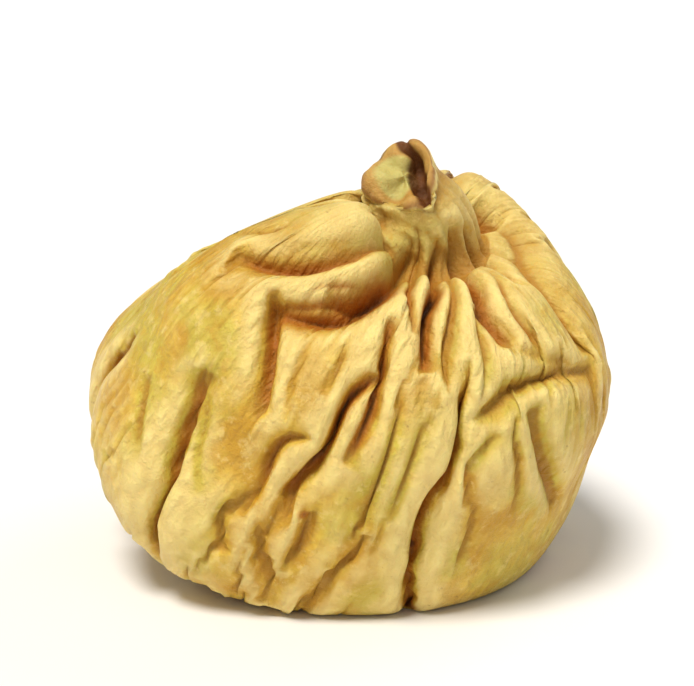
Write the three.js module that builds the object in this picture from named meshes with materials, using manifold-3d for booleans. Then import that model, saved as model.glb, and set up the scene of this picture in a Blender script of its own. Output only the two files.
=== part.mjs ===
// A whole dried fig with the stub of its stalk, grown and dried in one piece. Millimetres, +Z up.
// The fruit is drawn upright on its own stalk axis, creased and pleated, then leaned over.
// It is cut level where it rests.
// The origin is at the centre of the part's box, on the surface that the fig rests on.
import * as THREE from 'three';
import { mergeVertices } from 'three/addons/utils/BufferGeometryUtils.js';
import Module from 'manifold-3d';

// Driving dimensions
const bodyRadius = 22.8;      // half of the widest way across the fruit
const restHeight = 18.3;      // from the resting face up to the middle of the fruit
const leanFromUpright = 29;   // degrees between the stalk axis and +Z
const leanTowards = -47;      // degrees round +Z from +X, the way the stalk leans
const stepsRound = 80;
const stepsAlong = 46;
const creaseRadius = 19;      // from the middle out to the skin, where the creases' widths are measured
const finestHalf = 1.0;       // no crease is drawn narrower than this, so that the mesh can hold it

// Half of the fruit's outline, from the eye at the base to the cut end of the stalk: [radius, height].
// It is drawn for a fruit of outlineRadius and scaled to bodyRadius.
const outlineRadius = 23.3;
const stalkRoot = [6.2, 14.9];
const outlinePoints = [
  [0, -16.4], [1.4, -17], [4.2, -18.3], [9.6, -18.9], [15.6, -17.8], [21.6, -13.3], [23.3, -6.8],
  [22.2, 0.8], [20.7, 7.2], [17, 12.4], [12.6, 15], [9, 15.5], stalkRoot, [5.2, 15.5], [4.4, 16.6],
  [3.7, 17.8], [3.2, 19.1], [3.1, 20.2], [2.75, 20.8], [2.1, 20.4], [1.1, 19.9], [0, 20],
];

// Creases of the skin. path: the places that each passes,
// as [degrees round the stalk axis, degrees from it].
const creases = [
  { path: [[236, 20], [230, 34], [222, 44], [213, 51], [203, 56]], depth: 1.9, half: 1 },
  { path: [[256, 14], [252, 26], [247, 36], [242, 43], [234, 46]], depth: 2.3, half: 1 },
  { path: [[258, 18], [252, 34], [243, 47], [233, 54], [224, 58]], depth: 2.6, half: 1.3 },
  { path: [[222, 54], [229, 60], [234, 67], [239, 78]], depth: 1.7, half: 0.7 },
  { path: [[221, 78], [225, 92], [228, 108], [230, 126]], depth: 1.2, half: 1 },
  { path: [[251, 76], [246, 80], [245, 86], [247, 95]], depth: 0.8, half: 0.45 },
  { path: [[259, 57], [256, 67], [256, 78], [252, 92]], depth: 1.7, half: 0.55 },
  { path: [[258, 44], [261, 56], [263, 66], [262, 79]], depth: 1.2, half: 0.45 },
  { path: [[292, 14], [278, 27], [271, 40], [273, 53]], depth: 2.4, half: 0.7 },
  { path: [[268, 12], [264, 24], [262, 34], [267, 46]], depth: 1.3, half: 0.5 },
  { path: [[300, 16], [286, 29], [280, 41], [277, 54]], depth: 1.2, half: 0.6 },
  { path: [[316, 12], [302, 26], [295, 37], [300, 46]], depth: 2, half: 0.8 },
  { path: [[292, 36], [290, 43], [291, 50]], depth: 0.7, half: 0.5 },
  { path: [[66, 12], [46, 22], [24, 27]], depth: 1.8, half: 1.1 },
  { path: [[46, 24], [15, 29], [346, 32], [335, 41], [330, 54]], depth: 1.7, half: 1.7 },
  { path: [[286, 64], [297, 56], [312, 54], [332, 58]], depth: 1.1, half: 0.8 },
  { path: [[303, 60], [308, 72], [320, 88]], depth: 0.9, half: 0.7 },
  { path: [[282, 56], [285, 68], [282, 84], [284, 100], [290, 118]], depth: 1.4, half: 0.6 },
  { path: [[294, 64], [289, 72], [291, 82]], depth: 0.6, half: 0.45 },
  { path: [[336, 14], [330, 24], [322, 34]], depth: 1.2, half: 0.7 },
  { path: [[196, 13], [193, 26], [186, 38]], depth: 1, half: 0.8 },
  { path: [[154, 13], [148, 46], [138, 84]], depth: 2, half: 1.2 },
  { path: [[106, 13], [97, 50], [84, 98]], depth: 2.3, half: 1.3 },
  { path: [[184, 14], [176, 44], [178, 66]], depth: 1.5, half: 1 },
  { path: [[18, 40], [10, 62], [12, 84]], depth: 1.3, half: 1 },
  { path: [[47, 40], [44, 74], [36, 120]], depth: 1.9, half: 1.1 },
  { path: [[72, 22], [74, 44], [66, 62]], depth: 1.4, half: 0.9 },
  { path: [[130, 20], [126, 38], [130, 58]], depth: 1.3, half: 0.9 },
  { path: [[176, 74], [162, 92], [160, 128]], depth: 1.5, half: 1 },
  { path: [[118, 56], [121, 88], [112, 124]], depth: 1.6, half: 0.9 },
  { path: [[350, 76], [352, 102], [342, 138]], depth: 1.3, half: 1 },
  { path: [[68, 58], [71, 84], [66, 118]], depth: 1.3, half: 0.8 },
  { path: [[96, 96], [94, 116], [98, 138]], depth: 1.3, half: 0.8 },
  { path: [[20, 92], [24, 108], [18, 134]], depth: 1.1, half: 0.9 },
  { path: [[196, 90], [192, 108], [197, 134]], depth: 0.9, half: 0.8 },
];

// Slow swellings of the whole fruit: the way each wave runs, its start and its height in mm.
const swellings = [
  { along: [2.1, 0.7, 1.3], start: 0.4, height: 0.5 },
  { along: [-1.1, 2.4, 0.6], start: 2, height: 0.45 },
  { along: [0.5, -1.5, 2.7], start: 4.1, height: 0.4 },
  { along: [3.6, 2.2, -1.4], start: 1.1, height: 0.32 },
  { along: [-2.9, 3.4, 2.5], start: 5.2, height: 0.28 },
  { along: [1.7, -4.3, 3.1], start: 0.9, height: 0.24 },
];

// Plump lobes of the fruit. at: [degrees round the stalk axis, degrees from it]. wide: in degrees too.
const lobes = [
  { at: [222, 114], wide: 22, height: 1.6 },
  { at: [150, 112], wide: 26, height: 0.8 },
  { at: [212, 29], wide: 10, height: 2.4 },
  { at: [172, 27], wide: 9, height: 1.6 },
];

// Flats where neighbours pressed on the fruit while it dried. facing: the way out, in the resting frame.
// distance: how far the flat is from the middle of the fruit.
const flats = [
  { facing: [0.85, -0.2, -0.49], distance: 24.6, softness: 1.3 },
  { facing: [-0.34, 0.3, 0.88], distance: 13.6, softness: 1.5 },
  { facing: [-0.68, 0.05, 0.73], distance: 18.3, softness: 1.6 },
  { facing: [0.8, 0.35, 0.49], distance: 19.4, softness: 1.6 },
  { facing: [0.25, 0.93, 0.1], distance: 18.3, softness: 2 },
];

// The pleats that gather the skin round the stalk, and how much of them is left on the stalk itself.
const pleats = { count: 13, depth: 0.13, widest: 12, twist: 0.5, onStalk: 0.3 };

// The stalk bends over from its root: degrees in all, over what length, and towards which bearing.
// It is set off towards that side too, by shift, within shiftOver of its root.
const stalkBend = { total: 46, length: 5.5, towards: 190, shift: 1.6, shiftOver: 4 };

// The stalk isn't quite round: the number of waves round it, how far they turn for each mm that it rises,
// their start and their height.
const stalkOval = [
  { waves: 2, twist: 0.22, start: 1.2, height: 0.13 },
  { waves: 3, twist: -0.3, start: 0.3, height: 0.06 },
];

// Its end was cut aslant, falling towards one side.
const stalkCut = { slope: 0.4, facing: 262, from: 19.1 };

const radians = THREE.MathUtils.degToRad;
const smooth = (x, from, to) => THREE.MathUtils.smoothstep(x, from, to);

// The way out from the middle of the upright fruit, for a bearing round the stalk axis and a reach from it.
function wayOf(bearing, reach) {
  const across = Math.sin(reach);
  return new THREE.Vector3(across * Math.cos(bearing), across * Math.sin(bearing), Math.cos(reach));
}

// Each crease as many ways out along a smooth curve.
const stepsPerPiece = 9;
for (const crease of creases) {
  const curve = new THREE.CatmullRomCurve3(
    crease.path.map(([round, away]) => wayOf(radians(round), radians(away))), false, 'catmullrom',
  );
  crease.ways = curve.getPoints(stepsPerPiece * (crease.path.length - 1)).map((way) => way.normalize());
}

// How deep a crease cuts at a way out from the middle of the fruit. It fades out at its two ends.
function creaseDepth(crease, way) {
  let nearest = Infinity;
  let share = 0;
  crease.ways.forEach((spot, i) => {
    const gap = spot.distanceTo(way);
    if (gap < nearest) {
      nearest = gap;
      share = i / (crease.ways.length - 1);
    }
  });
  const aside = nearest * creaseRadius / Math.max(crease.half, finestHalf);
  return crease.depth * Math.sin(Math.PI * share) ** 0.6 * Math.exp(-(aside ** 1.4));
}

// How far the skin lies outside the plain outline, in mm. rise is how far up the stalk the place is.
// gather is 1 where the skin may be pleated and 0 on the cut end of the stalk.
function skinHeight(bearing, reach, radius, rise, gather) {
  const way = wayOf(bearing, radians(reach));
  let height = 0;
  if (rise === 0) {
    for (const wave of swellings) {
      const phase = way.dot(new THREE.Vector3(...wave.along)) + wave.start;
      height += smooth(reach, 10, 34) * wave.height * Math.sin(phase);
    }
  }
  for (const lobe of lobes) {
    const [round, away] = lobe.at.map(radians);
    const apart = THREE.MathUtils.radToDeg(way.angleTo(wayOf(round, away)));
    height += lobe.height * Math.exp(-((apart / lobe.wide) ** 2));
  }
  for (const crease of creases) height -= creaseDepth(crease, way);
  const onStalk = 1 - (1 - pleats.onStalk) * smooth(rise, 0, 4);
  const patchy = 0.7 + 0.3 * Math.sin(2 * bearing + 0.4) + 0.25 * Math.sin(5 * bearing + 2);
  const gathered = (1 - smooth(radius, 3, pleats.widest)) * onStalk * patchy * gather;
  const uneven = bearing + 0.22 * Math.sin(2 * bearing + 1) + 0.13 * Math.sin(3 * bearing + 2.5);
  const wave = 0.5 - 0.5 * Math.cos(pleats.count * uneven + pleats.twist * reach / 10);
  height -= gathered * pleats.depth * Math.min(radius, 6) * smooth(radius, 0.5, 2.5) * wave ** 2;
  for (const oval of stalkOval) {
    const turned = oval.waves * bearing + oval.twist * rise + oval.start;
    height += oval.height * Math.min(radius, 4) * smooth(rise, 0, 3) * Math.sin(turned);
  }
  return height;
}

// Carries a ring of the stalk along its bent axis. rise is how far the ring is from the stalk's root.
function bendStalk(point, rise) {
  const steps = 12;
  const centre = new THREE.Vector2();
  let turn = 0;
  for (let i = 0; i < steps; i++) {
    turn = radians(stalkBend.total) * smooth(rise * (i + 0.5) / steps, 0, stalkBend.length);
    centre.x += Math.sin(turn) * rise / steps;
    centre.y += Math.cos(turn) * rise / steps;
  }
  centre.x += stalkBend.shift * smooth(rise, 0, stalkBend.shiftOver);
  const towards = radians(stalkBend.towards);
  const side = new THREE.Vector3(Math.cos(towards), Math.sin(towards), 0);
  const hinge = new THREE.Vector3(-side.y, side.x, 0);
  const level = point.clone().setZ(point.z - stalkRoot[1] - rise);
  level.applyAxisAngle(hinge, turn);
  return level.addScaledVector(side, centre.x).setZ(level.z + stalkRoot[1] + centre.y);
}

// Moves a point back behind a soft plane.
function pressFlat(point, flat) {
  const facing = new THREE.Vector3(...flat.facing).normalize();
  const over = point.dot(facing) - flat.distance;
  const gone = over > 8 * flat.softness ? over : flat.softness * Math.log1p(Math.exp(over / flat.softness));
  return point.addScaledVector(facing, -gone);
}

// Turns the stalk axis into the resting frame, with bearing 0 towards +X as nearly as it can be.
function leanMatrix() {
  const lean = radians(leanFromUpright);
  const towards = radians(leanTowards);
  const stalkAxis = wayOf(towards, lean);
  const right = new THREE.Vector3(1, 0, 0).addScaledVector(stalkAxis, -stalkAxis.x).normalize();
  return new THREE.Matrix4().makeBasis(right, stalkAxis.clone().cross(right), stalkAxis);
}

// The skin as one closed mesh of rings, with a point at each end.
function figSkin() {
  const outline = new THREE.SplineCurve(outlinePoints.map(([r, z]) => new THREE.Vector2(r, z)));
  const rows = outline.getSpacedPoints(stepsAlong);
  const root = new THREE.Vector2(...stalkRoot);
  const gaps = rows.map((p) => p.distanceTo(root));
  const rootRow = gaps.indexOf(Math.min(...gaps));
  const heights = rows.map((p, row) => (row < rootRow ? 0 : p.y));
  const rimRow = heights.indexOf(Math.max(...heights));
  const cutTop = outlinePoints.at(-1)[1];
  const lean = leanMatrix();
  const scale = bodyRadius / outlineRadius;
  const points = [];
  const place = (row, bearing) => {
    const { x: radius, y: height } = rows[row];
    const before = rows[Math.max(row - 1, 0)];
    const after = rows[Math.min(row + 1, stepsAlong)];
    const normal = new THREE.Vector2(after.y - before.y, before.x - after.x).normalize();
    const reach = THREE.MathUtils.radToDeg(Math.atan2(radius, height));
    const rise = row < rootRow ? 0 : Math.max(height - stalkRoot[1], 0);
    const gather = row > rimRow ? 0 : 1;
    const out = radius > 0 ? skinHeight(bearing, reach, radius, rise, gather) : 0;
    const ring = Math.max(radius + normal.x * out, 0.3 * radius);
    const up = height + normal.y * out;
    let point = new THREE.Vector3(ring * Math.cos(bearing), ring * Math.sin(bearing), up);
    if (row >= rootRow) {
      const slant = stalkCut.slope * smooth(height, stalkCut.from, cutTop);
      point.z -= slant * ring * Math.cos(bearing - radians(stalkCut.facing));
      point = bendStalk(point, rise);
    }
    point.multiplyScalar(scale).applyMatrix4(lean);
    if (row < rootRow) flats.forEach((flat) => pressFlat(point, flat));
    points.push(point.x, point.y, point.z + restHeight);
  };
  place(0, 0);
  for (let row = 1; row < stepsAlong; row++)
    for (let i = 0; i < stepsRound; i++) place(row, 2 * Math.PI * i / stepsRound);
  place(stepsAlong, 0);

  const faces = [];
  const ring = (row, i) => 1 + (row - 1) * stepsRound + (i % stepsRound);
  const tip = 1 + (stepsAlong - 1) * stepsRound;
  for (let i = 0; i < stepsRound; i++) {
    faces.push(0, ring(1, i + 1), ring(1, i));
    for (let row = 1; row < stepsAlong - 1; row++) {
      faces.push(ring(row, i), ring(row, i + 1), ring(row + 1, i + 1));
      faces.push(ring(row, i), ring(row + 1, i + 1), ring(row + 1, i));
    }
    faces.push(tip, ring(stepsAlong - 1, i), ring(stepsAlong - 1, i + 1));
  }
  const skin = new THREE.BufferGeometry();
  skin.setAttribute('position', new THREE.Float32BufferAttribute(points, 3));
  skin.setIndex(faces);
  return skin;
}

// A closed three.js geometry as a solid of the boolean library.
function solidOf(wasm, geometry) {
  const bare = geometry.clone();
  bare.deleteAttribute('normal');
  bare.deleteAttribute('uv');
  const merged = mergeVertices(bare, 1e-4);
  return new wasm.Manifold(new wasm.Mesh({
    numProp: 3,
    vertProperties: merged.attributes.position.array,
    triVerts: new Uint32Array(merged.index.array),
  }));
}

function geometryOf(solid) {
  const mesh = solid.getMesh();
  const geometry = new THREE.BufferGeometry();
  geometry.setAttribute('position', new THREE.BufferAttribute(new Float32Array(mesh.vertProperties), 3));
  geometry.setIndex(new THREE.BufferAttribute(new Uint32Array(mesh.triVerts), 1));
  geometry.computeVertexNormals();
  return geometry;
}

// Cuts the fig level on the surface it rests on, and centres its box over the origin.
async function restingFig() {
  const wasm = await Module();
  wasm.setup();
  const floorBlock = new THREE.BoxGeometry(200, 200, 60).translate(0, 0, -30);
  const fig = geometryOf(solidOf(wasm, figSkin()).subtract(solidOf(wasm, floorBlock)));
  fig.computeBoundingBox();
  const middle = fig.boundingBox.getCenter(new THREE.Vector3());
  return fig.translate(-middle.x, -middle.y, 0);
}

const driedFig = new THREE.Mesh(
  await restingFig(),
  new THREE.MeshStandardMaterial({ color: 0xdcc07a, roughness: 0.55, metalness: 0 }),
);
driedFig.name = 'dried_fig';

const part = new THREE.Group();
part.add(driedFig);

export default part;
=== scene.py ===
import math

import bpy
import numpy as np
from mathutils import Matrix, Vector


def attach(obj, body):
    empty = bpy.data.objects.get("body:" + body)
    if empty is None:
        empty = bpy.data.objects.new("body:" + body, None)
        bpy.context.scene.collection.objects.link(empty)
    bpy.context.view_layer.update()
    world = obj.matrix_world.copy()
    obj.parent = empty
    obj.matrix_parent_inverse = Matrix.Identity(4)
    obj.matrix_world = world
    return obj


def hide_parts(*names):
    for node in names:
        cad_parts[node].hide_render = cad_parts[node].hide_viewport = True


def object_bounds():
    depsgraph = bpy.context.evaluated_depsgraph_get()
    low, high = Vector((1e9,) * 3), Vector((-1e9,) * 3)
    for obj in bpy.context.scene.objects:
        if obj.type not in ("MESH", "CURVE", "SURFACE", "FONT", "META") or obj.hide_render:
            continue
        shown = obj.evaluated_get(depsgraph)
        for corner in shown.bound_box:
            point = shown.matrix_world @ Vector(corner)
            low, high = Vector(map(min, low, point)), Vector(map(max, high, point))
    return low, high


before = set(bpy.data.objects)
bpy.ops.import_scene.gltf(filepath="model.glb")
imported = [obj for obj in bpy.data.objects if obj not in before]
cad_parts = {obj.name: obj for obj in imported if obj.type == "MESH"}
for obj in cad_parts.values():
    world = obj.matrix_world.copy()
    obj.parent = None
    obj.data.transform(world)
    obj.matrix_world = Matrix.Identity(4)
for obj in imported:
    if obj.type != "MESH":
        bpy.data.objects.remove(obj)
cadLow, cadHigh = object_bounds()
print("frame loaded, box in mm:", [round(v * 1000, 1) for v in cadHigh - cadLow])

mm = 0.001

# The same fruit as the CAD solid, drawn upright on its stalk axis and then leaned over.
# Millimetres and degrees.
fruit = {
    "bodyRadius": 22.8,  # half of the widest way across
    "restHeight": 18.3,  # from the floor up to the middle of the fruit
    "leanFromUpright": 29,
    "leanTowards": -47,  # round +Z from +X
    "outlineRadius": 23.3,  # the size that the outline is drawn at, before it is scaled to bodyRadius
    "stalkRoot": (6.2, 14.9),
    "outline": [  # (radius, height) from the eye at the base to the cut end of the stalk
        (0, -16.4), (1.4, -17.0), (4.2, -18.3), (9.6, -18.9), (15.6, -17.8), (21.6, -13.3), (23.3, -6.8),
        (22.2, 0.8), (20.7, 7.2), (17.0, 12.4), (12.6, 15.0), (9.0, 15.5), (6.2, 14.9), (5.2, 15.5),
        (4.4, 16.6), (3.7, 17.8), (3.2, 19.1), (3.1, 20.2), (2.75, 20.8), (2.1, 20.4), (1.1, 19.9), (0, 20),
    ],
}

# Creases of the skin. path: the places that each passes, as degrees round the stalk axis and degrees
# from it. depth and half, its half width, are in mm. brown: how dark its bottom is coloured, partly the
# skin's own browning and partly painted shade.
creases = [
    {"path": [(236, 20), (230, 34), (222, 44), (213, 51), (203, 56)],
     "depth": 1.9, "half": 1.0, "brown": 0.5},
    {"path": [(256, 14), (252, 26), (247, 36), (242, 43), (234, 46)],
     "depth": 2.3, "half": 1.0, "brown": 0.8},
    {"path": [(258, 18), (252, 34), (243, 47), (233, 54), (224, 58)],
     "depth": 2.6, "half": 1.3, "brown": 0.6},
    {"path": [(222, 54), (229, 60), (234, 67), (239, 78)], "depth": 1.7, "half": 0.7, "brown": 0.4},
    {"path": [(221, 78), (225, 92), (228, 108), (230, 126)], "depth": 1.2, "half": 1.0, "brown": 0.1},
    {"path": [(251, 76), (246, 80), (245, 86), (247, 95)], "depth": 0.8, "half": 0.45, "brown": 0.4},
    {"path": [(259, 57), (256, 67), (256, 78), (252, 92)], "depth": 1.7, "half": 0.55, "brown": 1.0},
    {"path": [(258, 44), (261, 56), (263, 66), (262, 79)], "depth": 1.2, "half": 0.45, "brown": 0.8},
    {"path": [(292, 14), (278, 27), (271, 40), (273, 53)], "depth": 2.4, "half": 0.7, "brown": 1.0},
    {"path": [(268, 12), (264, 24), (262, 34), (267, 46)], "depth": 1.3, "half": 0.5, "brown": 0.6},
    {"path": [(300, 16), (286, 29), (280, 41), (277, 54)], "depth": 1.2, "half": 0.6, "brown": 0.3},
    {"path": [(316, 12), (302, 26), (295, 37), (300, 46)], "depth": 2.0, "half": 0.8, "brown": 0.9},
    {"path": [(292, 36), (290, 43), (291, 50)], "depth": 0.7, "half": 0.5, "brown": 0.3},
    {"path": [(66, 12), (46, 22), (24, 27)], "depth": 1.8, "half": 1.1, "brown": 0.6},
    {"path": [(46, 24), (15, 29), (346, 32), (335, 41), (330, 54)],
     "depth": 1.7, "half": 1.7, "brown": 0.2},
    {"path": [(286, 64), (297, 56), (312, 54), (332, 58)], "depth": 1.1, "half": 0.8, "brown": 0.1},
    {"path": [(303, 60), (308, 72), (320, 88)], "depth": 0.9, "half": 0.7, "brown": 0.2},
    {"path": [(282, 56), (285, 68), (282, 84), (284, 100), (290, 118)],
     "depth": 1.4, "half": 0.6, "brown": 0.5},
    {"path": [(294, 64), (289, 72), (291, 82)], "depth": 0.6, "half": 0.45, "brown": 0.3},
    {"path": [(336, 14), (330, 24), (322, 34)], "depth": 1.2, "half": 0.7, "brown": 0.3},
    {"path": [(196, 13), (193, 26), (186, 38)], "depth": 1.0, "half": 0.8, "brown": 0.2},
    {"path": [(154, 13), (148, 46), (138, 84)], "depth": 2.0, "half": 1.2, "brown": 0.5},
    {"path": [(106, 13), (97, 50), (84, 98)], "depth": 2.3, "half": 1.3, "brown": 0.6},
    {"path": [(184, 14), (176, 44), (178, 66)], "depth": 1.5, "half": 1.0, "brown": 0.3},
    {"path": [(18, 40), (10, 62), (12, 84)], "depth": 1.3, "half": 1.0, "brown": 0.2},
    {"path": [(47, 40), (44, 74), (36, 120)], "depth": 1.9, "half": 1.1, "brown": 0.5},
    {"path": [(72, 22), (74, 44), (66, 62)], "depth": 1.4, "half": 0.9, "brown": 0.4},
    {"path": [(130, 20), (126, 38), (130, 58)], "depth": 1.3, "half": 0.9, "brown": 0.3},
    {"path": [(176, 74), (162, 92), (160, 128)], "depth": 1.5, "half": 1.0, "brown": 0.3},
    {"path": [(118, 56), (121, 88), (112, 124)], "depth": 1.6, "half": 0.9, "brown": 0.5},
    {"path": [(350, 76), (352, 102), (342, 138)], "depth": 1.3, "half": 1.0, "brown": 0.3},
    {"path": [(68, 58), (71, 84), (66, 118)], "depth": 1.3, "half": 0.8, "brown": 0.3},
    {"path": [(96, 96), (94, 116), (98, 138)], "depth": 1.3, "half": 0.8, "brown": 0.3},
    {"path": [(20, 92), (24, 108), (18, 134)], "depth": 1.1, "half": 0.9, "brown": 0.2},
    {"path": [(196, 90), (192, 108), (197, 134)], "depth": 0.9, "half": 0.8, "brown": 0.1},
]

# Finer ones, which the CAD solid leaves out
fineCreases = [
    {"path": [(246, 36), (239, 43), (234, 49), (229, 53), (225, 57)],
     "depth": 0.48, "half": 0.4, "brown": 0.5},
    {"path": [(245, 35), (238, 40), (233, 44), (230, 48)], "depth": 0.42, "half": 0.36, "brown": 0.4},
    {"path": [(214, 45), (217, 41), (224, 36), (234, 34)], "depth": 0.3, "half": 0.4, "brown": 0.1},
    {"path": [(187, 55), (199, 48), (203, 41)], "depth": 0.36, "half": 0.48, "brown": 0.1},
    {"path": [(268, 59), (269, 66), (269, 74), (269, 82), (269, 92)],
     "depth": 0.42, "half": 0.4, "brown": 0.2},
    {"path": [(275, 62), (274, 70), (274, 78), (274, 88)], "depth": 0.36, "half": 0.4, "brown": 0.1},
    {"path": [(259, 93), (259, 100), (258, 106)], "depth": 0.36, "half": 0.4, "brown": 0.3},
    {"path": [(242, 99), (243, 105), (246, 110)], "depth": 0.3, "half": 0.4, "brown": 0.1},
    {"path": [(270, 95), (269, 102), (266, 108)], "depth": 0.36, "half": 0.4, "brown": 0.2},
    {"path": [(250, 100), (252, 106), (256, 111)], "depth": 0.3, "half": 0.4, "brown": 0.1},
    {"path": [(249, 54), (250, 60), (249, 66)], "depth": 0.3, "half": 0.33, "brown": 0.2},
    {"path": [(241, 57), (242, 65), (243, 69)], "depth": 0.24, "half": 0.33, "brown": 0.1},
    {"path": [(209, 89), (214, 97), (220, 104)], "depth": 0.3, "half": 0.56, "brown": 0.0},
    {"path": [(226, 82), (229, 88), (232, 95), (237, 100)], "depth": 0.36, "half": 0.4, "brown": 0.1},
    {"path": [(292, 81), (294, 90), (294, 97)], "depth": 0.36, "half": 0.4, "brown": 0.1},
    {"path": [(297, 63), (300, 72), (303, 84)], "depth": 0.36, "half": 0.4, "brown": 0.2},
    {"path": [(319, 26), (307, 38), (310, 47)], "depth": 0.48, "half": 0.48, "brown": 0.4},
    {"path": [(296, 44), (305, 48), (321, 53)], "depth": 0.36, "half": 0.48, "brown": 0.2},
]

# Broad swellings that make the fruit uneven: each is a wave through it, along a direction
swellings = [
    {"along": (2.1, 0.7, 1.3), "start": 0.4, "height": 0.5},
    {"along": (-1.1, 2.4, 0.6), "start": 2.0, "height": 0.45},
    {"along": (0.5, -1.5, 2.7), "start": 4.1, "height": 0.4},
    {"along": (3.6, 2.2, -1.4), "start": 1.1, "height": 0.32},
    {"along": (-2.9, 3.4, 2.5), "start": 5.2, "height": 0.28},
    {"along": (1.7, -4.3, 3.1), "start": 0.9, "height": 0.24},
]
swellFrom = (10, 34)  # degrees from the stalk axis over which the swellings come in

# Plump lobes of the fruit: where each is, its half width in degrees and how far it stands out
lobes = [
    {"at": (222, 114), "wide": 22, "height": 1.6},
    {"at": (150, 112), "wide": 26, "height": 0.8},
    {"at": (212, 29), "wide": 10, "height": 2.4},
    {"at": (172, 27), "wide": 9, "height": 1.6},
]

# Flats that neighbours pressed into the fruit while it dried
flats = [
    {"facing": (0.85, -0.2, -0.49), "distance": 24.6, "softness": 1.3},
    {"facing": (-0.34, 0.3, 0.88), "distance": 13.6, "softness": 1.5},
    {"facing": (-0.68, 0.05, 0.73), "distance": 18.3, "softness": 1.6},
    {"facing": (0.8, 0.35, 0.49), "distance": 19.4, "softness": 1.6},
    {"facing": (0.25, 0.93, 0.1), "distance": 18.3, "softness": 2.0},
]

creaseForm = {
    "radius": 19,  # mm from the middle of the fruit out to its skin, where the widths are measured
    "endPower": 0.6,  # under 1, so that a crease is deep almost to its ends
    "sidePower": 1.4,  # 1 would be a sharp bottom and 2 a round one
}

# Pleats gathered round the stalk
pleats = {
    "count": 13,
    "depth": 0.13,  # for each mm of radius, up to deepest
    "deepest": 6,
    "fadeOut": (3, 12),  # mm from the stalk axis
    "fadeIn": (0.5, 2.5),
    "twist": 0.05,  # radians for each degree away from the stalk axis
    "onStalk": 0.3,  # how much of their depth is left up the stalk
    "stalkFade": (0, 4),
    "spacing": [(2, 1, 0.22), (3, 2.5, 0.13)],  # waves that make it uneven: how many, their start and size
    "evenDepth": 0.7,
    "depthWaves": [(2, 0.4, 0.3), (5, 2, 0.25)],
}

# The stalk is bent over at its root, and cut off slantwise
stalkRadius = 4
stalkFrom = (0, 3)  # mm up the stalk over which its own form comes in
stalkBend = {"total": 46, "length": 5.5, "towards": 190, "shift": 1.6, "shiftOver": 4}
stalkOval = [
    {"waves": 2, "twist": 0.22, "start": 1.2, "height": 0.13},
    {"waves": 3, "twist": -0.3, "start": 0.3, "height": 0.06},
]
stalkLumps = {"round": 8, "along": 46, "height": 0.34, "fadeIn": (0, 1.5), "fadeOut": (5.5, 6.6)}
stalkCut = {"slope": 0.4, "facing": 262, "from": 19.1, "faceFrom": (3.8, 5.2)}
stalkSplit = {"middle": 1.0, "slant": 0.12, "half": 0.55, "depth": 1.5, "closed": (1.6, 2.8)}
pith = {"middle": (-0.85, 0.2), "radius": 1.8, "height": 0.3}

# The skin is a grid of rings. It wrinkles on three grids, each twice as fine as the last.
# excess: spare skin, as a share of its length. pulpHold: how hard the pulp pulls it back.
# sharpen: how much harder a ridge is held than a hollow, which keeps ridges broad and hollows narrow.
# streak: the rows between the knots of the first small unevenness.
skinGrid = {"rings": 272, "round": 360}
wrinkling = [
    {"coarser": 4, "excessRound": 0.05, "excessDown": 0.02, "stiffness": 0.05, "pulpHold": 0.005,
     "sharpen": 0.6, "rounds": 180, "streak": 3},
    {"coarser": 2, "excessRound": 0.15, "excessDown": 0.02, "stiffness": 0.03, "pulpHold": 0.006,
     "sharpen": 0.8, "rounds": 200, "streak": 4},
    {"coarser": 1, "excessRound": 0.25, "excessDown": 0.03, "stiffness": 0.014, "pulpHold": 0.01,
     "sharpen": 1.2, "rounds": 220, "streak": 5},
]
settling = {
    "firstNoise": 0.1,  # mm
    "carriedOn": 0.85,  # of each round's movement into the next
    "holdLimits": (0.25, 2.5),
}
randomSeed = 7

# How much spare skin there is from place to place: little on the plump patches, on the stalk and near it
looseness = {
    "mean": 0.75,
    "spread": 0.3,
    "knots": (5, 9),  # of the noise, down and round
    "limits": (0.05, 1.3),
    "nearStalk": 0.35,
    "fullFrom": (20, 50),  # degrees from the stalk axis
    "stalkLoss": 0.96,
}
plumpPatches = [
    {"at": (204, 80), "wide": 26, "tight": 0.75},
    {"at": (306, 84), "wide": 24, "tight": 0.7},
    {"at": (130, 66), "wide": 22, "tight": 0.5},
    {"at": (60, 84), "wide": 22, "tight": 0.6},
    {"at": (10, 70), "wide": 18, "tight": 0.4},
    {"at": (345, 34), "wide": 20, "tight": 0.6},
    {"at": (204, 32), "wide": 14, "tight": 0.5},
]

# Small brown stains, and the eye at the base
brownSpots = [
    {"at": (288, 114), "wide": 2.2, "brown": 1.3},
    {"at": (283, 97), "wide": 1.6, "brown": 0.9},
    {"at": (258, 94), "wide": 1.2, "brown": 0.6},
    {"at": (122, 92), "wide": 2.0, "brown": 1.0},
    {"at": (40, 104), "wide": 1.7, "brown": 0.8},
    {"at": (180, 176), "wide": 5.0, "brown": 1.1},
]

# What the skin's measures for the material are taken over
measuring = {
    "foldBlurs": 24,
    "creaseBlurs": 160,
    "veinStretch": 0.45,  # the small creases run down the skin, so they are longer that way
    "nearStalk": (22, 72),  # degrees from the stalk axis
    "onStalk": (0.5, 3),
    "brownWidth": 0.9,  # of the crease's own
    "brownAtStalk": 0.2,
    "brownFrom": (14, 34),
    "splitWidth": 1.3,
    "cutEdge": 2,  # rings over which the skin gives way to the cut
}


def smoothStep(value, start, end):
    share = np.clip((value - start) / (end - start), 0, 1)
    return share * share * (3 - 2 * share)


def wayOf(bearing, reach):
    across = np.sin(reach)
    return np.stack([across * np.cos(bearing), across * np.sin(bearing), np.cos(reach)], axis=-1)


def degreesApart(ways, at):
    return np.degrees(np.arccos(np.clip(ways @ wayOf(*np.radians(at)), -1, 1)))


def withWaves(value, bearing, waves):
    for count, start, size in waves:
        value = value + size * np.sin(count * bearing + start)
    return value


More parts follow.
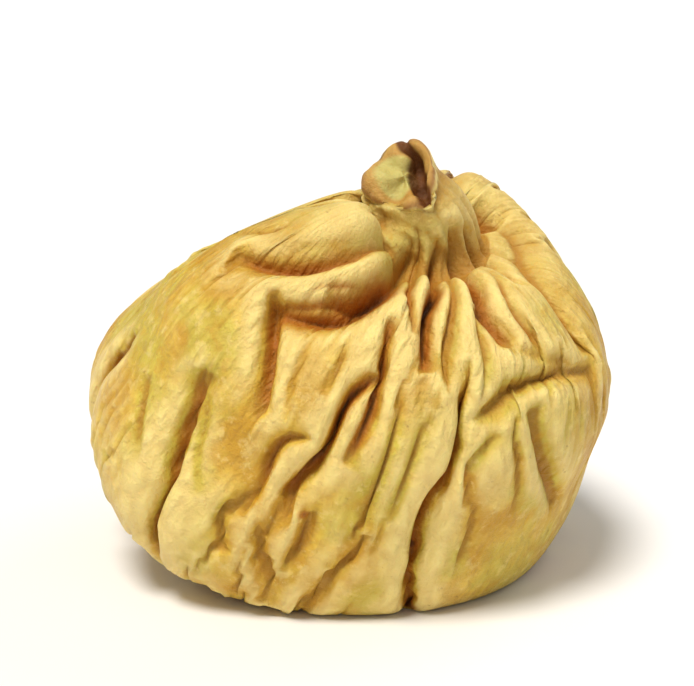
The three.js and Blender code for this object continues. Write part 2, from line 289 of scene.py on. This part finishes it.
def catmull(a, b, c, d, t):
    return 0.5 * (2 * b + (c - a) * t + (2 * a - 5 * b + 4 * c - d) * t**2 + (3 * b - a - 3 * c + d) * t**3)


def smoothCurve(points, perPiece):
    # many points on a smooth curve through a few
    knots = np.array([points[0], *points, points[-1]], float)
    t = np.linspace(0, 1, perPiece, endpoint=False)[:, None]
    pieces = [catmull(*four, t) for four in zip(knots, knots[1:], knots[2:], knots[3:])]
    return np.vstack([*pieces, knots[-1:]])


def creaseShare(crease, ways, wider=1):
    # 1 in the bottom of a crease and 0 away from it. It fades out at its two ends.
    bearing, reach = np.radians(np.array(crease["path"], float)).T
    spots = smoothCurve(wayOf(bearing, reach), 5)
    spots /= np.linalg.norm(spots, axis=1)[:, None]
    nearest = np.full(ways.shape[:-1], 9.0)
    share = np.zeros(ways.shape[:-1])
    for i, (start, step) in enumerate(zip(spots, np.diff(spots, axis=0))):
        along = np.clip((ways - start) @ step / (step @ step), 0, 1)
        gap = np.linalg.norm(ways - start - along[..., None] * step, axis=-1)
        share = np.where(gap < nearest, (i + along) / (len(spots) - 1), share)
        nearest = np.minimum(gap, nearest)
    aside = nearest * creaseForm["radius"] / (crease["half"] * wider)
    ends = np.sin(np.pi * share) ** creaseForm["endPower"]
    return ends * np.exp(-(aside ** creaseForm["sidePower"]))


def outlineCurve(points):
    # even steps along the curve through the outline's points
    fine = smoothCurve(points, 60)
    along = np.concatenate([[0], np.cumsum(np.linalg.norm(np.diff(fine, axis=0), axis=1))])
    even = np.linspace(0, along[-1], skinGrid["rings"])
    return np.stack([np.interp(even, along, fine[:, k]) for k in (0, 1)], axis=1)


def skinHeight(bearing, reach, radius, rise, inside):
    ways = wayOf(bearing, np.radians(reach))
    height = np.zeros_like(bearing)
    for wave in swellings:
        height += wave["height"] * np.sin(ways @ np.array(wave["along"]) + wave["start"])
    height *= smoothStep(reach, *swellFrom) * (rise == 0)
    for lobe in lobes:
        height += lobe["height"] * np.exp(-((degreesApart(ways, lobe["at"]) / lobe["wide"]) ** 2))
    for crease in creases + fineCreases:
        height -= crease["depth"] * creaseShare(crease, ways)
    gathered = 1 - smoothStep(radius, *pleats["fadeOut"])
    gathered = gathered * (1 - (1 - pleats["onStalk"]) * smoothStep(rise, *pleats["stalkFade"]))
    spaced = withWaves(bearing, bearing, pleats["spacing"])
    wave = 0.5 - 0.5 * np.cos(pleats["count"] * spaced + pleats["twist"] * reach)
    gathered = gathered * withWaves(pleats["evenDepth"], bearing, pleats["depthWaves"]) * ~inside
    depth = pleats["depth"] * np.minimum(radius, pleats["deepest"]) * smoothStep(radius, *pleats["fadeIn"])
    height -= gathered * depth * wave**2
    for oval in stalkOval:
        turned = oval["waves"] * bearing + oval["twist"] * rise + oval["start"]
        size = oval["height"] * np.minimum(radius, stalkRadius) * smoothStep(rise, *stalkFrom)
        height += size * np.sin(turned)
    return height


def pithShare(x, y):
    (middleX, middleY), radius = pith["middle"], pith["radius"]
    return np.exp(-((((x - middleX) ** 2 + (y - middleY) ** 2) / radius**2) ** 2))


def splitShare(x, y, wider=1):
    aside = (x - stalkSplit["middle"] + stalkSplit["slant"] * y) / (stalkSplit["half"] * wider)
    return np.exp(-(aside**2))


def cutRelief(points, rise):
    # a split beside the pith, and the pith a little proud of the cut
    x, y = points[..., 0], points[..., 1]
    split = stalkSplit["depth"] * splitShare(x, y) * (1 - smoothStep(y, *stalkSplit["closed"]))
    return smoothStep(rise, *stalkCut["faceFrom"]) * (pith["height"] * pithShare(x, y) - split)


def bendStalk(points, rise):
    # each ring's centre follows the bent axis, and the ring turns with it
    steps = 24
    centre = np.zeros((len(rise), 2))
    for i in range(steps):
        turn = np.radians(stalkBend["total"]) * smoothStep(rise * (i + 0.5) / steps, 0, stalkBend["length"])
        centre += np.stack([np.sin(turn), np.cos(turn)], axis=1) * rise[:, None] / steps
    centre[:, 0] += stalkBend["shift"] * smoothStep(rise, 0, stalkBend["shiftOver"])
    bearing = math.radians(stalkBend["towards"])
    side = np.array([math.cos(bearing), math.sin(bearing), 0])
    hinge = np.array([-side[1], side[0], 0])
    rootHeight = fruit["stalkRoot"][1]
    bent = []
    for ring, climbed, angle, (outward, upward) in zip(points, rise, turn, centre):
        level = ring - np.array([0, 0, rootHeight + climbed])
        turned = level @ np.array(Matrix.Rotation(angle, 3, Vector(hinge))).T
        bent.append(turned + side * outward + np.array([0, 0, rootHeight + upward]))
    return np.array(bent)


def leanMatrix():
    lean = math.radians(fruit["leanFromUpright"])
    towards = math.radians(fruit["leanTowards"])
    across = math.sin(lean)
    stalkAxis = Vector((across * math.cos(towards), across * math.sin(towards), math.cos(lean)))
    right = (Vector((1, 0, 0)) - stalkAxis * stalkAxis.x).normalized()
    return np.array([right, stalkAxis.cross(right), stalkAxis]).T


def pressFlat(points, flat):
    facing = np.array(flat["facing"]) / np.linalg.norm(flat["facing"])
    over = (points @ facing - flat["distance"]) / flat["softness"]
    return points - (flat["softness"] * np.logaddexp(0, over))[..., None] * facing


def plainSkin():
    # the fruit before its skin wrinkles, and where each of its points is
    rows = outlineCurve(fruit["outline"])
    bearing = np.linspace(0, 2 * np.pi, skinGrid["round"], endpoint=False)
    radius = rows[:, :1] + np.zeros_like(bearing)
    height = rows[:, 1:] + np.zeros_like(bearing)
    bearing = bearing + np.zeros_like(radius)
    reach = np.degrees(np.arctan2(radius, height))
    rootRow = int(np.argmin(np.hypot(*(rows - fruit["stalkRoot"]).T)))
    rise = np.maximum(height - fruit["stalkRoot"][1], 0)
    rise[:rootRow] = 0
    rimRow = rootRow + int(np.argmax(rows[rootRow:, 1]))
    inside = np.arange(len(rows))[:, None] > rimRow
    slope = np.gradient(rows, axis=0)
    normal = np.stack([slope[:, 1], -slope[:, 0]], axis=1)
    normal /= np.linalg.norm(normal, axis=1)[:, None]
    out = skinHeight(bearing, reach, radius, rise, inside) * (radius > 0)
    ring = np.maximum(radius + normal[:, :1] * out, 0.3 * radius)  # never across the stalk axis
    upward = height + normal[:, 1:] * out
    points = np.stack([ring * np.cos(bearing), ring * np.sin(bearing), upward], axis=-1)
    points[..., 2] += cutRelief(points, rise)
    slant = stalkCut["slope"] * smoothStep(height, stalkCut["from"], fruit["outline"][-1][1]) * (rise > 0)
    facing = math.radians(stalkCut["facing"])
    points[..., 2] -= slant * (points[..., 0] * math.cos(facing) + points[..., 1] * math.sin(facing))
    points[rootRow:] = bendStalk(points[rootRow:], rise[rootRow:, 0])
    points = points * (fruit["bodyRadius"] / fruit["outlineRadius"]) @ leanMatrix().T
    for flat in flats:
        points[:rootRow] = pressFlat(points[:rootRow], flat)
    place = {"bearing": bearing, "reach": reach, "radius": radius, "rise": rise, "rimRow": rimRow}
    return points + np.array([0, 0, fruit["restHeight"]]), place


def gridNormals(points):
    around = np.roll(points, -1, 1) - np.roll(points, 1, 1)
    down = np.gradient(points, axis=0)
    normal = np.cross(around, down)
    length = np.linalg.norm(normal, axis=2, keepdims=True)
    return normal / np.maximum(length, 1e-9)


def stretchPull(points, rest, step):
    # moves both ends of each grid edge half way to its own length. step is (rows down, places round)
    down, around = step
    ahead = np.roll(points[down:], -around, 1)
    edge = ahead - points[: len(points) - down]
    length = np.sqrt((edge * edge).sum(2, keepdims=True))
    change = 0.5 * (1 - rest / np.maximum(length, 1e-6)) * edge
    moved = np.zeros_like(points)
    moved[: len(points) - down] += change
    moved[down:] -= np.roll(change, around, 1)
    return moved


def edgeLengths(points, step):
    down, around = step
    edge = np.roll(points[down:], -around, 1) - points[: len(points) - down]
    return np.sqrt((edge * edge).sum(2, keepdims=True))


def bumpiness(points):
    # how far each point stands from the mean of its four neighbours
    ends = np.concatenate([points[:1], points, points[-1:]])
    around = np.roll(points, 1, 1) + np.roll(points, -1, 1)
    return points - 0.25 * (around + ends[:-2] + ends[2:])


def wrinkle(points, stage, noise, loose):
    # the skin has more area than the fruit it covers, and the pulp holds it, so it buckles
    ground = points.copy()
    normal = gridNormals(ground)
    steps = [(0, 1), (1, 0), (1, 1), (1, -1)]
    rests = []
    for step in steps:
        down, around = step
        excess = stage["excessRound"] * abs(around) + stage["excessDown"] * down
        excess /= abs(around) + down
        rests.append(edgeLengths(ground, step) * (1 + excess * loose[down:, :, None]))
    base = bumpiness(ground)
    points = ground + normal * noise[..., None]
    speed = np.zeros_like(points)
    gentle, firm = settling["holdLimits"]
    for _ in range(stage["rounds"]):
        pull = np.zeros_like(points)
        for step, rest in zip(steps, rests):
            pull += stretchPull(points, rest, step)
        pull /= len(steps)
        bend = bumpiness(points) - base
        pull -= stage["stiffness"] * bumpiness(bend)
        away = ((points - ground) * normal).sum(2, keepdims=True)
        hold = np.clip(1 + stage["sharpen"] * away, gentle, firm)
        pull -= stage["pulpHold"] * hold * away * normal
        speed = settling["carriedOn"] * speed + pull
        points = points + speed
        points[0] = points[0].mean(0)
        points[-1] = points[-1].mean(0)
    return points


def smoothNoise(shape, knots, rng):
    # random heights on a loose grid, blended smoothly, closed round the fruit
    down, around = knots
    heights = rng.standard_normal((down + 1, around))
    rowAt = np.linspace(0, down, shape[0])
    turnAt = np.linspace(0, around, shape[1], endpoint=False)
    row = np.minimum(rowAt.astype(int), down - 1)
    turn = turnAt.astype(int) % around
    after = (turn + 1) % around
    rowShare = smoothStep(rowAt - row, 0, 1)[:, None]
    share = smoothStep(turnAt - np.floor(turnAt), 0, 1)[None]
    top = heights[row][:, turn] * (1 - share) + heights[row][:, after] * share
    bottom = heights[row + 1][:, turn] * (1 - share) + heights[row + 1][:, after] * share
    return top * (1 - rowShare) + bottom * rowShare


def looseSkin(place, rng):
    bearing, reach = place["bearing"], place["reach"]
    loose = looseness["mean"] + looseness["spread"] * smoothNoise(bearing.shape, looseness["knots"], rng)
    ways = wayOf(bearing, np.radians(reach))
    for patch in plumpPatches:
        loose *= 1 - patch["tight"] * np.exp(-((degreesApart(ways, patch["at"]) / patch["wide"]) ** 2))
    atNeck = looseness["nearStalk"]
    onBody = atNeck + (1 - atNeck) * smoothStep(reach, *looseness["fullFrom"])
    onStalk = 1 - looseness["stalkLoss"] * smoothStep(place["rise"], *stalkFrom)
    return np.clip(loose, *looseness["limits"]) * onBody * onStalk


def wrinkledSkin():
    rng = np.random.default_rng(randomSeed)
    target, place = plainSkin()
    rise = place["rise"]
    loose = looseSkin(place, rng)
    lumps = smoothNoise(rise.shape, (stalkLumps["along"], stalkLumps["round"]), rng)
    lumps = lumps * smoothStep(rise, *stalkLumps["fadeIn"]) * (1 - smoothStep(rise, *stalkLumps["fadeOut"]))
    added = stalkLumps["height"] * lumps[..., None] * gridNormals(target)
    for stage in wrinkling:
        every = stage["coarser"]
        rows = [*range(0, len(target) - 1, every), len(target) - 1]
        coarse = (target + added)[rows][:, ::every]
        knots = (coarse.shape[0] // stage["streak"], coarse.shape[1] // 3)
        noise = settling["firstNoise"] * smoothNoise(coarse.shape[:2], knots, rng)
        change = wrinkle(coarse, stage, noise, loose[rows][:, ::every]) - coarse
        added = added + spreadOut(change, rows, every, target.shape)
        print("wrinkled at 1 /", every, "largest move in mm:", round(float(np.abs(change).max()), 2))
    return target + added, place


def spreadOut(change, rows, every, shape):
    # moves made on a coarse grid, carried smoothly to the fine one
    if every == 1:
        return change
    rowAt = np.interp(np.arange(shape[0]), rows, np.arange(len(rows)))
    low = np.minimum(rowAt.astype(int), len(change) - 2)
    share = (rowAt - low)[:, None, None]
    before, after = change[np.maximum(low - 1, 0)], change[np.minimum(low + 2, len(change) - 1)]
    tall = catmull(before, change[low], change[low + 1], after, share)
    turnAt = np.arange(shape[1]) / every
    first = turnAt.astype(int)
    share = (turnAt - first)[None, :, None]
    picks = [tall[:, (first + k) % change.shape[1]] for k in (-1, 0, 1, 2)]
    return catmull(*picks, share)


def restOnFloor(points, softness=0.5):
    # the underside is flat where it rests, and turns up softly round that patch
    flat = points.copy()
    flat[..., 2] = softness * np.logaddexp(0, points[..., 2] / softness)
    return flat


def asVertices(grid):
    # the first and last rings are single points
    inner = grid[1:-1].reshape(-1, *grid.shape[2:])
    return np.concatenate([grid[0, :1], inner, grid[-1, :1]])


def makeMesh(name, points):
    rings, around = points.shape[:2]
    vertices = asVertices(points)
    sides = [(i, (i + 1) % around) for i in range(around)]
    faces = [(0, 1 + j, 1 + i) for i, j in sides]
    for row in range(rings - 3):
        near = 1 + row * around
        far = near + around
        faces += [(near + i, near + j, far + j, far + i) for i, j in sides]
    last = 1 + (rings - 3) * around
    tip = len(vertices) - 1
    faces += [(tip, last + i, last + j) for i, j in sides]
    mesh = bpy.data.meshes.new(name)
    mesh.from_pydata(vertices.tolist(), [], faces)
    mesh.polygons.foreach_set("use_smooth", np.ones(len(mesh.polygons), bool))
    mesh.update()
    return mesh


def addMeasure(mesh, name, grid):
    # a number or a vector kept at each vertex, for the material to read
    kind, field = ("FLOAT", "value") if grid.ndim == 2 else ("FLOAT_VECTOR", "vector")
    mesh.attributes.new(name, kind, "POINT").data.foreach_set(field, asVertices(grid).ravel())


def blurred(grid, rounds):
    for _ in range(rounds):
        grid = grid - bumpiness(grid)
    return grid


def standingOut(points, rounds):
    # how far each point stands out from the skin round about, in mm
    smooth = blurred(points, rounds)
    return ((points - smooth) * gridNormals(smooth)).sum(2)


def measureSkin(mesh, points, place):
    bearing, reach, radius = place["bearing"], place["reach"], place["radius"]
    # fold and crease: how far the skin stands out, at a small and a large scale. The material paints
    # highlight on what stands out and shade in what sinks in, over the skin's own paler ridges and browner
    # hollows.
    addMeasure(mesh, "fold", standingOut(points, measuring["foldBlurs"]))
    addMeasure(mesh, "crease", standingOut(points, measuring["creaseBlurs"]))

    # a place on the skin laid out flat, with the way down it pressed together
    along = np.cumsum(np.linalg.norm(np.gradient(points, axis=0), axis=2), axis=0).mean(1, keepdims=True)
    down = np.repeat(along * measuring["veinStretch"], bearing.shape[1], axis=1)[..., None]
    around = fruit["bodyRadius"] * np.stack([np.cos(bearing), np.sin(bearing)], axis=2)
    addMeasure(mesh, "veinWay", np.concatenate([around, down], axis=2))

    addMeasure(mesh, "nearStalk", 1 - smoothStep(reach, *measuring["nearStalk"]))
    addMeasure(mesh, "onStalk", smoothStep(place["rise"], *measuring["onStalk"]))
    ways = wayOf(bearing, np.radians(reach))
    # brown at the bottoms of the creases, partly the skin's own browning and partly painted shade, and at
    # the spots, which are stains
    width = measuring["brownWidth"]
    brown = [crease["brown"] * creaseShare(crease, ways, width) for crease in creases + fineCreases]
    for spot in brownSpots:
        brown.append(spot["brown"] * np.exp(-((degreesApart(ways, spot["at"]) / spot["wide"]) ** 2)))
    atStalk = measuring["brownAtStalk"]
    fade = atStalk + (1 - atStalk) * smoothStep(reach, *measuring["brownFrom"])
    addMeasure(mesh, "brown", np.max(brown, axis=0) * fade)

    x, y = radius * np.cos(bearing), radius * np.sin(bearing)
    edge = measuring["cutEdge"]
    inside = (np.arange(len(points)) > place["rimRow"] - edge)[:, None] * np.ones_like(x)
    addMeasure(mesh, "onCut", blurred(inside, edge))
    addMeasure(mesh, "pith", pithShare(x, y) * inside)
    addMeasure(mesh, "split", splitShare(x, y, measuring["splitWidth"]) * inside)


skin, place = wrinkledSkin()
skin = restOnFloor(skin)
low, high = skin.min((0, 1)), skin.max((0, 1))
toCentre = np.array([-(low[0] + high[0]) / 2, -(low[1] + high[1]) / 2, 0])
figMesh = makeMesh("driedFig", (skin + toCentre) * mm)
driedFig = bpy.data.objects.new("driedFig", figMesh)
bpy.context.scene.collection.objects.link(driedFig)
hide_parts("dried_fig")
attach(driedFig, "root")
measureSkin(figMesh, skin, place)
print("skin made:", len(figMesh.polygons), "faces, mm:", np.round(high - low, 1))


def hexColour(code, alpha=1.0):
    # sRGB hex to linear
    parts = [int(code[i : i + 2], 16) / 255 for i in (1, 3, 5)]
    return (*[c / 12.92 if c <= 0.04045 else ((c + 0.055) / 1.055) ** 2.4 for c in parts], alpha)


def addNode(tree, kind, inputs=None, **settings):
    # inputs holds a value or another node's output for each socket, by its name or number
    node = tree.nodes.new(kind)
    for name, value in settings.items():
        setattr(node, name, value)
    for socket, value in (inputs or {}).items():
        if isinstance(value, bpy.types.NodeSocket):
            tree.links.new(value, node.inputs[socket])
        else:
            node.inputs[socket].default_value = value
    return node


# Fig skin, sun dried: thin tough skin gone waxy and half clear over amber flesh. The eye gets pale straw
# ridges, partly the skin's own and partly painted highlight, honey where the skin is thinner, and brown in
# the creases, partly the skin's own and partly painted shade, all soft-edged, with a low broad shine.
skinLook = {
    # The pale ridge colour also paints highlight on raised skin. The hollow, crease and amber colours also
    # paint shade in hollows and creases.
    "straw": "#e7c14c", "honey": "#d3a232", "lime": "#d3c650", "paleTintAndHighlight": "#fbe290", "hollowTintAndShade": "#b58124",
    "crease": "#5a2c0c", "nearStalk": "#d2bb72", "amberTintAndShade": "#b4661a", "fleck": "#8a5522",
    "pith": "#cfc474", "cutFlesh": "#bf8f44", "cutRim": "#8a4a12", "splitDark": "#5f2c08",
    "roughness": (0.32, 0.57), "ior": 1.45, "shine": 0.36,
    "clearness": 0.2, "clearDepth": 1.6, "clearTint": (1.0, 0.55, 0.22),  # light goes about 1.6 mm in
    "cellSpacing": {"cells": 1.25, "fineCells": 0.5625},  # mm between the small creases
    "cellEdge": 0.35,  # how far into a cell it curves down
    "cellWander": 0.35,  # waves for each mm
    "reliefDepth": 0.36,  # mm
    "relief": {"cells": 0.38, "fineCells": 0.12, "crinkle": 1.1},
}

# Patterns in the skin. size is that of their largest spots in mm.
skinPatterns = {
    "uneven": {"size": 2.5, "detail": 6, "roughness": 0.55},
    "crinkle": {"size": 0.9, "detail": 6, "roughness": 0.65},
    "blotch": {"size": 4, "detail": 4, "roughness": 0.55},
    "patch": {"size": 9, "detail": 3, "roughness": 0.55},
    "mottle": {"size": 1.4, "detail": 4, "roughness": 0.65},
    "scuff": {"size": 0.8, "detail": 5, "roughness": 0.7},
    "scuffedPart": {"size": 6, "detail": 4, "roughness": 0.55},
}

# How far the uneven pattern moves a measure, so that no colour ends in a clean line
ragged = {"fold": 0.35, "crease": 0.7, "brown": 0.5, "split": 0.6}

# The colours laid over the straw, one after another. A colour comes in as each measure or pattern that it
# follows goes from the first number to the second. The last four are on the cut end of the stalk.
skinLayers = [
    {"colour": "honey", "strength": 1.0, "follows": [("blotch", 0.4, 0.58)]},
    {"colour": "lime", "strength": 0.7, "follows": [("patch", 0.48, 0.62)]},
    {"colour": "nearStalk", "strength": 0.6, "follows": [("nearStalk", 0, 1)], "blend": "LINEAR"},
    {"colour": "honey", "strength": 0.55, "follows": [("mottle", 0.52, 0.68)]},
    {"colour": "paleTintAndHighlight", "strength": 0.45, "follows": [("mottle", 0.46, 0.34)]},
    # pale on raised folds and plump lobes: painted highlight over the skin's own paler ridges
    {"colour": "paleTintAndHighlight", "strength": 0.85, "follows": [("fold", 0.08, 0.42)]},
    {"colour": "paleTintAndHighlight", "strength": 0.45, "follows": [("crease", 0.4, 1.1)]},
    # darker in the hollows of the folds: painted shade over the skin's own ochre
    {"colour": "hollowTintAndShade", "strength": 0.8, "follows": [("fold", 0.06, -0.24)]},
    # amber in the broad hollows, less near the stalk: painted shade over the skin's own amber
    {"colour": "amberTintAndShade", "strength": 0.6, "follows": [("crease", -0.1, -0.9), ("nearStalk", 1.3, 0.2)]},
    # brown at the bottoms of the creases, partly the skin's own browning and partly painted shade. The
    # brown spots are stains.
    {"colour": "amberTintAndShade", "strength": 0.8, "follows": [("brown", 0.1, 0.5)]},
    {"colour": "crease", "strength": 0.9, "follows": [("brown", 0.4, 0.85)]},
    # darker along the small creases between the cells, partly the skin's own fine lines and partly painted
    # shade
    {"colour": "hollowTintAndShade", "strength": 0.2, "follows": [("betweenCells", 0, 1)], "blend": "LINEAR"},
    {"colour": "fleck", "strength": 0.45, "follows": [("scuff", 0.6, 0.72), ("scuffedPart", 0.48, 0.6)]},
    {"colour": "cutFlesh", "strength": 0.85, "follows": [("onCut", 0.4, 0.9)]},
    {"colour": "cutRim", "strength": 0.75, "follows": [("onCut", 0.05, 0.5), ("onCut", 0.98, 0.6)]},
    {"colour": "pith", "strength": 0.9, "follows": [("pith", 0.35, 0.7)]},
    # dark in the split beside the pith
    {"colour": "splitDark", "strength": 0.9, "follows": [("split", 0.2, 0.6)]},
]


def shareWhere(tree, seen, follows, share, blend="SMOOTHSTEP"):
    # what is left of the share as each measure that it follows goes from its start to its full value
    for name, start, full in follows:
        inputs = {"Value": seen[name], "From Min": start, "From Max": full, "To Max": share}
        share = addNode(tree, "ShaderNodeMapRange", inputs, interpolation_type=blend).outputs["Result"]
    return share


def readSkin(tree):
    # every measure and pattern that a colour or the relief can follow
    seen = {}
    for name in ("fold", "crease", "brown", "nearStalk", "onStalk", "onCut", "pith", "split"):
        seen[name] = addNode(tree, "ShaderNodeAttribute", attribute_name=name).outputs["Fac"]
    spot = addNode(tree, "ShaderNodeTexCoord").outputs["Object"]
    for name, pattern in skinPatterns.items():
        inputs = {"Vector": spot, "Scale": 1 / (pattern["size"] * mm)}
        inputs |= {"Detail": pattern["detail"], "Roughness": pattern["roughness"]}
        seen[name] = addNode(tree, "ShaderNodeTexNoise", inputs).outputs["Fac"]
    half = {0: seen["uneven"], 1: 0.5}
    wobble = addNode(tree, "ShaderNodeMath", half, operation="SUBTRACT").outputs[0]
    for name, amount in ragged.items():
        inputs = {0: wobble, 1: amount, 2: seen[name]}
        seen[name] = addNode(tree, "ShaderNodeMath", inputs, operation="MULTIPLY_ADD").outputs[0]
    return seen


def addCells(tree, seen):
    # long cells down the skin, plump in the middle, sharp between. The stalk has none.
    veinWay = addNode(tree, "ShaderNodeAttribute", attribute_name="veinWay").outputs["Vector"]
    inputs = {"Vector": veinWay, "Scale": skinLook["cellWander"], "Detail": 2}
    wander = addNode(tree, "ShaderNodeTexNoise", inputs).outputs["Color"]
    way = addNode(tree, "ShaderNodeVectorMath", {0: veinWay, 1: wander}, operation="ADD").outputs[0]
    onBody = shareWhere(tree, seen, [("onStalk", 1, 0), ("nearStalk", 1, 0.55)], 1)
    for name, spacing in skinLook["cellSpacing"].items():
        inputs = {"Vector": way, "Scale": 1 / spacing}
        cells = addNode(tree, "ShaderNodeTexVoronoi", inputs, feature="DISTANCE_TO_EDGE")
        seen[name] = cells.outputs["Distance"]
        seen[name] = shareWhere(tree, seen, [(name, 0, skinLook["cellEdge"])], onBody)
    # the lines between the cells, which the material darkens, partly as the skin's own fine lines and
    # partly as painted shade
    between = {0: onBody, 1: seen["cells"]}
    seen["betweenCells"] = addNode(tree, "ShaderNodeMath", between, operation="SUBTRACT").outputs[0]


def sunDriedSkin():
    look = skinLook
    material = bpy.data.materials.new("sunDriedFigSkin")
    material.use_nodes = True
    tree = material.node_tree
    shader = tree.nodes["Principled BSDF"]
    seen = readSkin(tree)
    addCells(tree, seen)

    # sockets 6 and 7 of a Mix node are its two colours
    colour = hexColour(look["straw"])
    for layer in skinLayers:
        blend = layer.get("blend", "SMOOTHSTEP")
        share = shareWhere(tree, seen, layer["follows"], layer["strength"], blend)
        inputs = {0: share, 6: colour, 7: hexColour(look[layer["colour"]])}
        colour = addNode(tree, "ShaderNodeMix", inputs, data_type="RGBA").outputs[2]
    tree.links.new(colour, shader.inputs["Base Color"])

    height = 0
    for name, amount in look["relief"].items():
        inputs = {0: seen[name], 1: amount, 2: height}
        height = addNode(tree, "ShaderNodeMath", inputs, operation="MULTIPLY_ADD").outputs[0]
    inputs = {"Height": height, "Strength": 1, "Distance": look["reliefDepth"] * mm}
    bump = addNode(tree, "ShaderNodeBump", inputs)
    tree.links.new(bump.outputs["Normal"], shader.inputs["Normal"])
    smooth, dull = look["roughness"]
    inputs = {"Value": seen["uneven"], "To Min": smooth, "To Max": dull}
    roughness = addNode(tree, "ShaderNodeMapRange", inputs).outputs["Result"]
    tree.links.new(roughness, shader.inputs["Roughness"])

    shader.inputs["IOR"].default_value = look["ior"]
    shader.inputs["Specular IOR Level"].default_value = look["shine"]
    shader.inputs["Subsurface Weight"].default_value = look["clearness"]
    shader.inputs["Subsurface Radius"].default_value = look["clearTint"]
    shader.inputs["Subsurface Scale"].default_value = look["clearDepth"] * mm
    print("skin material made:", len(tree.nodes), "nodes")
    return material


figMesh.materials.append(sunDriedSkin())

# A pale floor, soft light from above on the left, and a camera that looks a little down
studio = {
    "elevation": 16,
    "lens": 100,
    "fill": 0.74,  # how much of the picture's width the fruit takes
    "floor": "#f0f0f0",
    "floorRoughness": 0.7,
    "floorSize": 6,
    "skyStrength": 0.3,
    "suns": [
        {"name": "keyLight", "way": (-0.2, -0.35, 0.9), "strength": 3.2, "spread": 20, "colour": "#fffaf2"},
        {"name": "rimLight", "way": (0.6, 0.5, 0.6), "strength": 0.6, "spread": 40, "colour": "#ffffff"},
    ],
}


def aimCamera():
    centre = (cadLow + cadHigh) / 2
    data = bpy.data.cameras.new("camera")
    data.lens = studio["lens"]
    half = math.atan(data.sensor_width / 2 / data.lens)
    width = max(cadHigh.x - cadLow.x, cadHigh.z - cadLow.z)
    distance = width / 2 / studio["fill"] / math.tan(half)
    up = math.radians(studio["elevation"])
    back = Vector((0, -math.cos(up), math.sin(up)))
    camera = bpy.data.objects.new("camera", data)
    bpy.context.scene.collection.objects.link(camera)
    camera.location = centre + back * distance
    camera.rotation_euler = (-back).to_track_quat("-Z", "Y").to_euler()
    data.clip_start = 0.01
    bpy.context.scene.camera = camera


def addSun(sun):
    data = bpy.data.lights.new(sun["name"], "SUN")
    data.energy = sun["strength"]
    data.angle = math.radians(sun["spread"])
    data.color = hexColour(sun["colour"])[:3]
    lamp = bpy.data.objects.new(sun["name"], data)
    bpy.context.scene.collection.objects.link(lamp)
    lamp.rotation_euler = Vector(sun["way"]).to_track_quat("Z", "Y").to_euler()


def makeFloor():
    bpy.ops.mesh.primitive_plane_add(size=studio["floorSize"])
    floor = bpy.context.object
    floor.name = "floor"
    paint = bpy.data.materials.new("paleFloor")
    paint.use_nodes = True
    shader = paint.node_tree.nodes["Principled BSDF"]
    shader.inputs["Base Color"].default_value = hexColour(studio["floor"])
    shader.inputs["Roughness"].default_value = studio["floorRoughness"]
    floor.data.materials.append(paint)


aimCamera()
makeFloor()
for sun in studio["suns"]:
    addSun(sun)
world = bpy.data.worlds.new("studio")
world.use_nodes = True
sky = world.node_tree.nodes["Background"]
sky.inputs["Color"].default_value = hexColour("#ffffff")
sky.inputs["Strength"].default_value = studio["skyStrength"]
bpy.context.scene.world = world
bpy.context.scene.view_settings.view_transform = "Standard"
print("camera, floor and lights placed")
